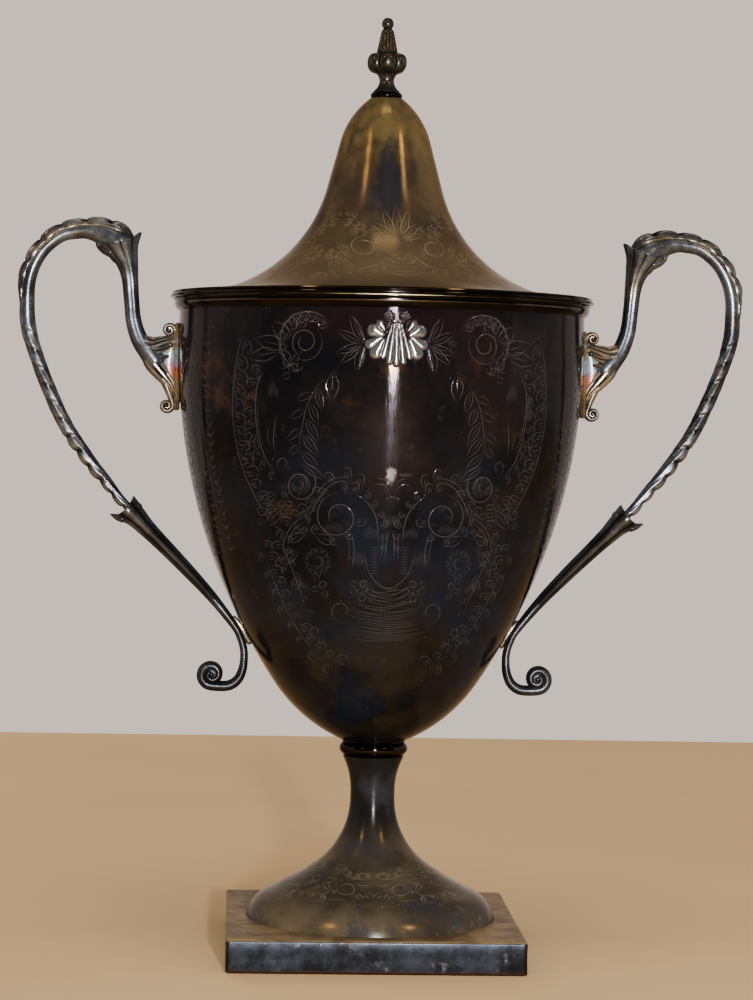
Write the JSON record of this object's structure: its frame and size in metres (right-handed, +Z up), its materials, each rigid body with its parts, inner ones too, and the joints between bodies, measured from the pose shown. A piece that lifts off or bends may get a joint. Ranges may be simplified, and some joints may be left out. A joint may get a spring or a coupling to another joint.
{
  "type": "covered two-handled trophy cup",
  "caption": "Covered urn-shaped trophy cup with scroll handles, a bell-shaped lift-off lid with an urn finial, a trumpet foot and a square plinth.",
  "frame": {"origin": "middle of the plinth's underside, on the cup's axis", "axes": "+Z up along the cup's axis, handles along +X and -X, engraved front facing -Y"},
  "size_m": [0.251, 0.1458, 0.32],
  "materials": {
    "bowl_plate": "silver plate under a near-black tarnish, glossy",
    "lid_plate": "silver plate under a golden brown tarnish, satin gloss",
    "foot_plate": "silver plate under an olive black tarnish, glossy",
    "plinth_plate": "silver plate, brown tarnish and water stains",
    "rim_plate": "dark tarnished moulding with bright worn edges",
    "cast_plate": "dark gunmetal tarnish on silver plated castings, glossy",
    "solder_metal": "bare solder and heat-toned plate",
    "inner_metal": "bare brass, dull"
  },
  "bodies": {
    "cup": {"plinth_band": "plinth_plate", "plinth_top": "plinth_plate", "foot": "foot_plate", "collar_ring": "cast_plate", "bowl_shell": "bowl_plate", "rim_moulding": "rim_plate", "tie_stud": "inner_metal", "tie_washer": "inner_metal", "tie_nut": "inner_metal", "left_handle_pad": "solder_metal", "left_handle_bracket": "cast_plate", "left_handle_arch": "cast_plate", "left_handle_crest": "cast_plate", "left_handle_tail": "cast_plate", "left_tail_pad": "solder_metal", "right_handle_pad": "solder_metal", "right_handle_bracket": "cast_plate", "right_handle_arch": "cast_plate", "right_handle_crest": "cast_plate", "right_handle_tail": "cast_plate", "right_tail_pad": "solder_metal"},
    "lid": {"lid_shell": "lid_plate", "lid_edge_wire": "rim_plate", "lid_bezel": "inner_metal", "finial_collar": "cast_plate", "finial": "cast_plate", "finial_washer": "inner_metal", "finial_nut": "inner_metal"}
  },
  "joints": [
    {"name": "lid_lift", "type": "slide", "parent": "cup", "child": "lid", "axis": [0, 0, 1], "range_m": [0, 0.08]}
  ]
}
